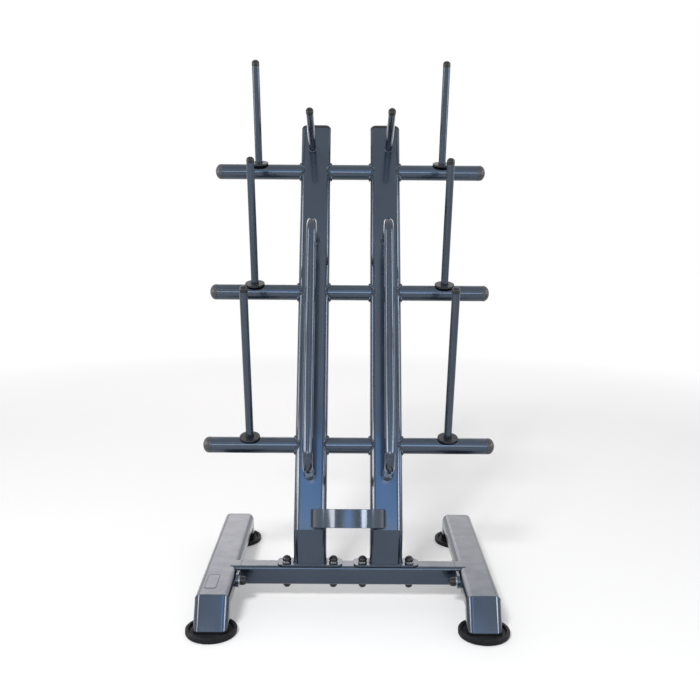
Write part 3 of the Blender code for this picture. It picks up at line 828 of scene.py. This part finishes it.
def feet():
    """Round rubber cups with a raised rim, a low ridge inside it and a pad under the post."""
    rim_inner = FOOT_RADIUS - FOOT_RIM_WIDTH
    ridge_top = FOOT_FLOOR_HEIGHT + FOOT_RIDGE_HEIGHT
    profile = [
        (0.0, 0.0),
        (FOOT_RADIUS - FOOT_EDGE, 0.0),
        (FOOT_RADIUS, FOOT_EDGE),
        (FOOT_RADIUS, FOOT_RIM_HEIGHT),
        (rim_inner, FOOT_RIM_HEIGHT),
        (rim_inner - FOOT_EDGE / 2, FOOT_FLOOR_HEIGHT),
        (FOOT_RIDGE_RADIUS + FOOT_RIDGE_HEIGHT, FOOT_FLOOR_HEIGHT),
        (FOOT_RIDGE_RADIUS, ridge_top),
        (0.0, ridge_top),
    ]
    pad_width = TUBE_WIDTH + 2 * FOOT_PAD_MARGIN
    pad_depth = TUBE_DEPTH / math.cos(POST_SPLAY) + 2 * FOOT_PAD_MARGIN
    pad_shape = (pad_width, pad_depth, TUBE_CORNER)
    for side, sign in SIDES.items():
        for end, way in ENDS.items():
            place = BASE @ shift(sign * LEG_X, foot_y(way), 0)
            node = f"{side}_{end}_foot"
            cup = turned(rounded_steps(profile, FOOT_ROUNDING), FOOT_STEPS)
            piece(f"{node}_cup", cup, place, "foot_rubber", node)
            pad = rounded_block(*pad_shape, FOOT_FLOOR_HEIGHT, FOOT_PAD_HEIGHT)
            piece(f"{node}_pad", pad, place, "foot_rubber", node, edge=FOOT_PAD_EDGE)


def hex_nut():
    """Six-sided nut with chamfered corners, from the washer up."""
    chamfer = NUT_CORNER_RADIUS * (1 - math.cos(math.pi / 6))
    profile = [
        (BOLT_RADIUS, WASHER_THICKNESS),
        (NUT_CORNER_RADIUS, WASHER_THICKNESS),
        (NUT_CORNER_RADIUS, NUT_TOP - chamfer / 2),
        (NUT_CORNER_RADIUS - chamfer, NUT_TOP),
        (BOLT_RADIUS, NUT_TOP),
    ]
    bm = turned(profile, BOLT_STEPS, closed=True)
    for vert in bm.verts:
        angle = math.atan2(vert.co.y, vert.co.x) % (math.pi / 3) - math.pi / 6
        flat = NUT_CORNER_RADIUS * math.cos(math.pi / 6) / math.cos(angle)
        if vert.co.xy.length > flat:
            vert.co.xy *= flat / vert.co.xy.length
    return bm


def washer():
    profile = [
        (BOLT_HOLE_RADIUS, GAP),
        (WASHER_RADIUS, GAP),
        (WASHER_RADIUS, WASHER_THICKNESS),
        (BOLT_HOLE_RADIUS, WASHER_THICKNESS),
    ]
    return turned(profile, BOLT_STEPS, closed=True)


def shank(low, high):
    profile = [(0.0, low), (BOLT_RADIUS, low), (BOLT_RADIUS, high), (0.0, high)]
    return turned(profile, BOLT_STEPS)


def insert(seat):
    """Round threaded insert below the seat, inside the leg."""
    low = seat - INSERT_LENGTH
    return turned([(0.0, low), (INSERT_RADIUS, low), (INSERT_RADIUS, seat), (0.0, seat)], BOLT_STEPS)


def low_cover(seat):
    """Dome cover below the cross tube."""
    low = seat - LOW_COVER_HEIGHT
    skirt = [(0.0, seat), (LOW_COVER_RADIUS, seat)]
    return turned(skirt + dome(LOW_COVER_RADIUS, low + LOW_COVER_RADIUS, low), BOLT_STEPS)


def bolt_cap(top):
    """Dome cover with a bore for the nut."""
    bore = [(0.0, BOLT_CAP_BORE_TOP), (BOLT_CAP_BORE_RADIUS, BOLT_CAP_BORE_TOP)]
    skirt = [(BOLT_CAP_BORE_RADIUS, BOLT_CAP_BASE), (BOLT_CAP_RADIUS, BOLT_CAP_BASE)]
    return turned(bore + skirt + dome(BOLT_CAP_RADIUS, top - BOLT_CAP_RADIUS, top), BOLT_STEPS)


def bolt(name, node, cap_node, seat, cap_top, place):
    """Shank, washer, nut and cover of one bolt. Its axis points from its seat to the nut."""
    piece(f"{name}_shank", shank(seat, BOLT_END), place, "bolt_steel", node)
    piece(f"{name}_washer", washer(), place, "bolt_steel", node, edge=FITTING_EDGE)
    piece(f"{name}_nut", hex_nut(), place, "bolt_steel", node, edge=NUT_EDGE)
    piece(f"{name}_cover", bolt_cap(cap_top), place, "black_plastic", cap_node, edge=FITTING_EDGE)


def bolts():
    for name, x in base_bolt_places():
        place = BASE @ shift(x, 0, CROSS_TOP + GAP + PLATE_THICKNESS)
        seat = -PLATE_THICKNESS - CROSS_SIZE - 2 * GAP
        node = f"{name}_base_bolt"
        bolt(f"{name}_plate_bolt", node, f"{node}_cap", seat, BOLT_CAP_TOP, place)
        cover = low_cover(seat)
        piece(f"{name}_plate_bolt_low_cover", cover, place, "black_plastic", node, edge=FITTING_EDGE)
    for side, sign in SIDES.items():
        for end, y in FLANGE_BOLT_Y.items():
            place = BASE @ shift(sign * FLANGE_X, y, FLANGE_AXIS_HEIGHT) @ turn(-sign * QUARTER_TURN, "Y")
            seat = -FLANGE_THICKNESS - TUBE_WALL - 2 * GAP
            node = f"{side}_{end}_flange_bolt"
            bolt(f"{side}_{end}_leg_bolt", node, node, seat, FLANGE_CAP_TOP, place)
            piece(f"{side}_{end}_leg_bolt_insert", insert(seat), place, "bolt_steel", node)


def side_wall(reach):
    """Distance from an upright's middle to its skin, at a distance from its centre plane."""
    past_flat = abs(reach) - (TUBE_DEPTH / 2 - TUBE_CORNER)
    if past_flat <= 0:
        return TUBE_WIDTH / 2
    return TUBE_WIDTH / 2 - TUBE_CORNER + math.sqrt(TUBE_CORNER**2 - past_flat**2)


def bars():
    half = BAR_OVERALL / 2 - BAR_CAP_LENGTH - GAP
    inner = BAR_RADIUS - BAR_WALL
    profile = [(BAR_RADIUS, -half), (BAR_RADIUS, half), (inner, half), (inner, -half)]
    for level, height in BAR_HEIGHTS.items():
        place = LEAN @ shift(0, 0, height)
        tube = turned(profile, BAR_STEPS, closed=True)
        across = place @ turn(QUARTER_TURN, "Y")
        piece(f"{level}_bar_tube", tube, across, "frame_paint", f"{level}_bar", edge=TUBE_EDGE)
        for side, sign in SIDES.items():
            for place_name, way in (("outer", 1), ("inner", -1)):
                loop = []
                for point in circle(BAR_RADIUS):
                    wall = sign * way * side_wall(point.x)
                    loop.append(Vector((sign * UPRIGHT_X + wall, point.x, point.y)))
                weld(f"{side}_{level}_bar_{place_name}_weld", loop, (1, 0, 0), place)


def bar_caps():
    plug_radius = BAR_RADIUS - BAR_WALL - GAP
    plug = [(0.0, -BAR_CAP_PLUG_LENGTH), (plug_radius, -BAR_CAP_PLUG_LENGTH), (plug_radius, 0.0)]
    profile = plug + [(BAR_RADIUS, 0.0)] + dome(BAR_RADIUS, BAR_CAP_STRAIGHT, BAR_CAP_LENGTH)
    seat = BAR_OVERALL / 2 - BAR_CAP_LENGTH
    # The caps take a lighter copy of the black plastic: painted highlight, not a different plastic
    highlight_lightened_plastic = moulded_plastic("bar_cap_plastic_painted_highlight", BAR_CAP_HIGHLIGHT_COLOUR)
    for level, height in BAR_HEIGHTS.items():
        for side, sign in SIDES.items():
            place = LEAN @ shift(sign * seat, 0, height) @ turn(sign * QUARTER_TURN, "Y")
            name = f"{side}_{level}_bar"
            cap = turned(profile, BAR_STEPS)
            piece(f"{name}_end", cap, place, "black_plastic", f"{name}_cap", edge=BAR_CAP_EDGE, material=highlight_lightened_plastic)


def peg(name, node, length, place):
    """Painted rod with a black tip. The rod's end goes up into the tip."""
    seam = length - PEG_TIP_LENGTH
    shoulder = seam - PEG_TIP_SEAM
    end = seam + PEG_TIP_SEAM
    neck = PEG_RADIUS - PEG_NECK_INSET
    rod = [(0.0, 0.0), (PEG_RADIUS, 0.0), (PEG_RADIUS, shoulder), (neck, shoulder), (neck, end), (0.0, end)]
    piece(f"{name}_rod", turned(rod, ROD_STEPS), place, "frame_paint", node, edge=FITTING_EDGE)
    tip = [(0.0, end + GAP), (neck, end + GAP), (neck, seam), (PEG_RADIUS, seam)]
    tip += dome(PEG_RADIUS, length - PEG_TIP_DOME, length)
    piece(f"{name}_tip", turned(tip, ROD_STEPS), place, "black_plastic", node, edge=FITTING_EDGE)


def plate_pegs():
    """Pegs on the bars, with a collar at each foot. Their turn is measured from the uprights."""
    seat = BAR_RADIUS + GAP
    top = seat + COLLAR_THICKNESS
    collar = [(COLLAR_BORE_RADIUS, seat), (COLLAR_RADIUS, seat)]
    collar += [(COLLAR_RADIUS, top), (COLLAR_BORE_RADIUS, top)]
    for level, height in BAR_HEIGHTS.items():
        for side, sign in SIDES.items():
            axis = LEAN @ shift(sign * PEG_X, 0, height) @ turn(PEG_LEAN + UPRIGHT_LEAN, "X")
            name = f"{side}_{level}"
            length = PEG_LENGTHS[level] - GAP
            peg(f"{name}_peg", f"{name}_plate_peg", length, axis @ shift(0, 0, seat))
            bm = turned(collar, BAR_STEPS, closed=True)
            piece(f"{name}_collar_disc", bm, axis, "black_plastic", f"{name}_peg_collar", edge=COLLAR_EDGE)


def top_pegs():
    for side, sign in SIDES.items():
        place = LEAN @ shift(sign * TOP_PEG_X, -FACE, TOP_PEG_HEIGHT) @ turn(QUARTER_TURN, "X")
        peg(f"{side}_upper_peg", f"{side}_top_peg", TOP_PEG_LENGTH - GAP, place)
        weld(f"{side}_upper_peg_weld", circle(PEG_RADIUS), (0, 0, 1), place, SMALL_BEAD_RADIUS)


def handle_path():
    """Forward from the upright's face, up along it, and back."""
    reach = HANDLE_REACH - HANDLE_BEND
    points = [Vector((0, -FACE, HANDLE_LOW))]
    for centre_z, start in ((HANDLE_LOW + HANDLE_BEND, -QUARTER_TURN), (HANDLE_HIGH - HANDLE_BEND, 0.0)):
        for step in range(BEND_STEPS + 1):
            angle = start + QUARTER_TURN * step / BEND_STEPS
            forward = reach + HANDLE_BEND * math.cos(angle)
            points.append(Vector((0, -forward, centre_z + HANDLE_BEND * math.sin(angle))))
    points.append(Vector((0, -FACE, HANDLE_HIGH)))
    return points


def handles():
    path = handle_path()
    for side, sign in SIDES.items():
        place = LEAN @ shift(sign * HANDLE_X, 0, 0)
        bm = sweep(path, [HANDLE_RADIUS] * len(path), Vector((1, 0, 0)), ROD_STEPS)
        piece(f"{side}_grab_handle", bm, place, "frame_paint", f"{side}_handle")
        for end, height in (("low", HANDLE_LOW), ("high", HANDLE_HIGH)):
            face = place @ shift(0, -FACE, height) @ turn(QUARTER_TURN, "X")
            weld(f"{side}_handle_{end}_weld", circle(HANDLE_RADIUS), (0, 0, 1), face)


def cradle_line(radius):
    """X and forward reach of points round the cradle's strip."""
    points = [Vector((-radius, FACE))]
    for step in range(CRADLE_STEPS + 1):
        angle = math.pi * (1 - step / CRADLE_STEPS)
        points.append(Vector((radius * math.cos(angle), FACE + CRADLE_STRAIGHT + radius * math.sin(angle))))
    return points + [Vector((radius, FACE))]


def cradle():
    """Half ring of flat strip. Its front dips by the slope."""
    bm = bmesh.new()
    outer_radius = CRADLE_WIDTH / 2
    inner_radius = outer_radius - CRADLE_STRIP_THICKNESS
    points = cradle_line(outer_radius) + cradle_line(inner_radius)[::-1]
    rows = []
    for level in (CRADLE_LOW, CRADLE_LOW + CRADLE_STRIP_HEIGHT):
        row = [bm.verts.new((x, -reach, level - CRADLE_SLOPE * (reach - FACE))) for x, reach in points]
        rows.append(row)
    skin(bm, rows)
    count = len(points)
    for row in rows:
        for index in range(count // 2 - 1):
            bm.faces.new((row[index], row[index + 1], row[count - 2 - index], row[count - 1 - index]))
    piece("cradle_strip", bm, LEAN, "frame_paint", "cradle", edge=CRADLE_EDGE)
    weld_low = CRADLE_LOW + CRADLE_WELD_MARGIN
    weld_high = CRADLE_LOW + CRADLE_STRIP_HEIGHT - CRADLE_WELD_MARGIN
    for side, sign in SIDES.items():
        for place_name, radius in (("outer", outer_radius), ("inner", inner_radius)):
            ends = [Vector((sign * radius, -FACE, level)) for level in (weld_low, weld_high)]
            name = f"{side}_cradle_{place_name}_weld"
            weld(name, ends, (1, 0, 0), LEAN, SMALL_BEAD_RADIUS, closed=False)


def badge():
    """Blank round-cornered plate on the left leg's top, with a black rim round it as painted shade along its
    edges.
    """
    bm = rounded_block(BADGE_WIDTH, BADGE_LENGTH, BADGE_CORNER, 0.0, BADGE_HEIGHT)
    place = shift(-LEG_X + BADGE_X_SHIFT, CROSS_AXIS_Y + BADGE_Y, BASE_AXIS_HEIGHT + TUBE_DEPTH / 2)
    film = frame_paint("badge_film", BADGE_GLOSS)
    piece("blank_badge", bm, place, "frame_paint", edge=BADGE_EDGE, material=film)
    # A black rim round the plate: painted shade along its edges
    path = [point.to_3d() for point in outline(BADGE_WIDTH, BADGE_LENGTH, BADGE_CORNER)]
    rim = sweep(path, [BADGE_SHADE_RIM_RADIUS] * len(path), Vector((0, 0, 1)), BADGE_SHADE_RIM_SIDES, closed=True)
    piece("blank_badge_shade_rim", rim, place, "black_plastic")


# Camera, fitted to the photograph's outlines
CAMERA_PLACE = (-0.0033, CROSS_AXIS_Y - 2.6731, 1.2442)
CAMERA_PITCH = math.radians(9.62)
CAMERA_YAW = math.radians(0.11)
CAMERA_ROLL = math.radians(0.39)
CAMERA_LENS = 46.12
CAMERA_SENSOR = 36.0

# Studio
FLOOR_SIZE = 40.0
FLOOR_COLOUR = (0.80, 0.80, 0.80)
FLOOR_LIFT = 0.24
FLOOR_FADE_START = 2.6
FLOOR_FADE_END = 4.4
AIM = (0, 0.1, 0.75)

# Diffuse light of the world from front to back and from below to above: places from 0 to 1, and colours
WORLD_RAMPS = {
    "Y": ((0.0, (0.45, 0.46, 0.48)), (0.45, (0.43, 0.44, 0.46)), (0.62, (0.85, 0.85, 0.85))),
    "Z": ((0.5, WHITE), (0.78, (0.90, 0.90, 0.90)), (0.95, (0.60, 0.60, 0.60))),
}


def camera():
    data = bpy.data.cameras.new("camera")
    data.lens = CAMERA_LENS
    data.sensor_width = CAMERA_SENSOR
    item = bpy.data.objects.new("camera", data)
    bpy.context.collection.objects.link(item)
    aim = turn(-CAMERA_YAW, "Z") @ turn(QUARTER_TURN - CAMERA_PITCH, "X")
    item.matrix_world = Matrix.Translation(CAMERA_PLACE) @ aim @ turn(CAMERA_ROLL, "Z")
    bpy.context.scene.camera = item


def seen(tree):
    """1 for rays from the camera or a glossy or clear surface."""
    path = tree.nodes.new("ShaderNodeLightPath")
    total = path.outputs["Is Camera Ray"]
    for name in ("Is Glossy Ray", "Is Transmission Ray"):
        either = tree.nodes.new("ShaderNodeMath")
        either.operation = "MAXIMUM"
        tree.links.new(total, either.inputs[0])
        tree.links.new(path.outputs[name], either.inputs[1])
        total = either.outputs["Value"]
    return total


def floor():
    """Pale floor that keeps the rack's shadow and fades to plain white far from it."""
    bm = bmesh.new()
    bmesh.ops.create_grid(bm, x_segments=1, y_segments=1, size=FLOOR_SIZE / 2)
    mesh = bpy.data.meshes.new("floor")
    bm.to_mesh(mesh)
    bm.free()
    paint = Shader("floor")
    tree = paint.tree
    paint.set(Base_Color=shade(FLOOR_COLOUR), Roughness=0.9, Specular_IOR_Level=0.0)
    lift = paint.math("MULTIPLY", seen(tree), FLOOR_LIFT)
    paint.set(Emission_Color=shade(WHITE), Emission_Strength=lift)
    distance = paint.node("ShaderNodeVectorMath", operation="LENGTH")
    paint.feed(distance.inputs[0], paint.place)
    fade = paint.spread(distance.outputs["Value"], 0.0, 1.0, FLOOR_FADE_START, FLOOR_FADE_END)
    white = paint.node("ShaderNodeEmission")
    both = paint.node("ShaderNodeMixShader")
    paint.feed(both.inputs["Fac"], paint.math("MULTIPLY", fade, seen(tree)))
    paint.feed(both.inputs[1], paint.surface.outputs["BSDF"])
    paint.feed(both.inputs[2], white.outputs["Emission"])
    paint.feed(tree.nodes["Material Output"].inputs["Surface"], both.outputs["Shader"])
    mesh.materials.append(paint.material)
    item = bpy.data.objects.new("floor", mesh)
    bpy.context.collection.objects.link(item)


def world():
    """White to the camera and in reflections. Its diffuse light is dimmer from above and the front."""
    studio = bpy.data.worlds.new("studio")
    studio.use_nodes = True
    tree = studio.node_tree
    place = tree.nodes.new("ShaderNodeTexCoord")
    split = tree.nodes.new("ShaderNodeSeparateXYZ")
    tree.links.new(place.outputs["Generated"], split.inputs["Vector"])
    ramps = []
    for axis, stops in WORLD_RAMPS.items():
        half = tree.nodes.new("ShaderNodeMapRange")
        half.inputs["From Min"].default_value = -1.0
        tree.links.new(split.outputs[axis], half.inputs["Value"])
        ramp = tree.nodes.new("ShaderNodeValToRGB")
        while len(ramp.color_ramp.elements) < len(stops):
            ramp.color_ramp.elements.new(0.5)
        for element, (position, colour) in zip(ramp.color_ramp.elements, stops):
            element.position = position
            element.color = shade(colour)
        tree.links.new(half.outputs["Result"], ramp.inputs["Fac"])
        ramps.append(ramp.outputs["Color"])
    product = tree.nodes.new("ShaderNodeMix")
    product.data_type = "RGBA"
    product.blend_type = "MULTIPLY"
    product.inputs["Factor"].default_value = 1.0
    tree.links.new(ramps[0], product.inputs["A"])
    tree.links.new(ramps[1], product.inputs["B"])
    final = tree.nodes.new("ShaderNodeMix")
    final.data_type = "RGBA"
    tree.links.new(seen(tree), final.inputs["Factor"])
    tree.links.new(product.outputs["Result"], final.inputs["A"])
    final.inputs["B"].default_value = shade(WHITE)
    tree.links.new(final.outputs["Result"], tree.nodes["Background"].inputs["Color"])
    bpy.context.scene.world = studio


def softbox(name, place, size, brightness, colour=WHITE, mirrored=True, lit=True):
    """Area lamp that faces the rack. Brightness is its radiance, where 1 is white.

    A mirrored lamp shows in reflections. A lit one also lights surfaces and casts shadows.
    """
    data = bpy.data.lights.new(name, "AREA")
    data.shape = "RECTANGLE"
    data.size, data.size_y = size
    data.energy = brightness * math.pi * size[0] * size[1]
    data.color = colour
    item = bpy.data.objects.new(name, data)
    bpy.context.collection.objects.link(item)
    toward = Vector(AIM) - Vector(place)
    item.location = place
    item.rotation_euler = toward.to_track_quat("-Z", "Y").to_euler()
    item.visible_camera = False
    item.visible_glossy = mirrored
    item.visible_diffuse = lit


def lamps():
    """Two soft lamps behind, one key lamp, and panels that only show in the paint's reflections."""
    softbox("rear_softbox", (0, 3.6, 1.75), (3.4, 1.3), 0.75, (1.0, 0.90, 0.88))
    softbox("rear_left_softbox", (-0.8, 3.6, 1.75), (2.6, 1.3), 0.65, (1.0, 0.88, 0.88))
    softbox("key_softbox", (-1.55, -4.0, 4.6), (1.3, 1.3), 47.0, mirrored=False)
    softbox("left_strip", (-2.5, -1.6, 1.36), (1.5, 0.55), 10.0, (1.0, 0.86, 0.74), lit=False)
    softbox("right_strip", (2.35, -1.95, 1.36), (0.9, 0.55), 11.0, (1.0, 0.93, 0.90), lit=False)
    softbox("left_side_panel", (-3.0, -0.2, 1.75), (0.8, 2.2), 6.0, (1.0, 0.97, 0.95), lit=False)
    softbox("right_side_panel", (3.0, -0.2, 1.75), (0.8, 2.2), 6.0, (0.97, 0.98, 1.0), lit=False)
    softbox("blue_panel", (0, -3.5, 2.3), (1.35, 0.65), 2.1, (0.04, 0.41, 1.0), lit=False)
    softbox("blue_glow", (0, -3.5, 2.55), (1.4, 1.4), 0.3, (0.10, 0.50, 1.0), lit=False)
    softbox("low_panel", (0, -3.5, 1.5), (2.6, 0.6), 4.6, (0.85, 0.92, 1.0), lit=False)
    softbox("high_glow", (0, -3.0, 3.4), (2.4, 1.3), 0.35, (0.95, 0.98, 1.0), lit=False)


camera()
uprights()
upright_caps()
stubs()
base_plates()
end_flanges()
cross_tube()
leg_tubes()
leg_posts()
feet()
bolts()
bars()
bar_caps()
plate_pegs()
top_pegs()
handles()
cradle()
badge()
floor()
world()
lamps()
bpy.context.scene.view_settings.view_transform = "Standard"
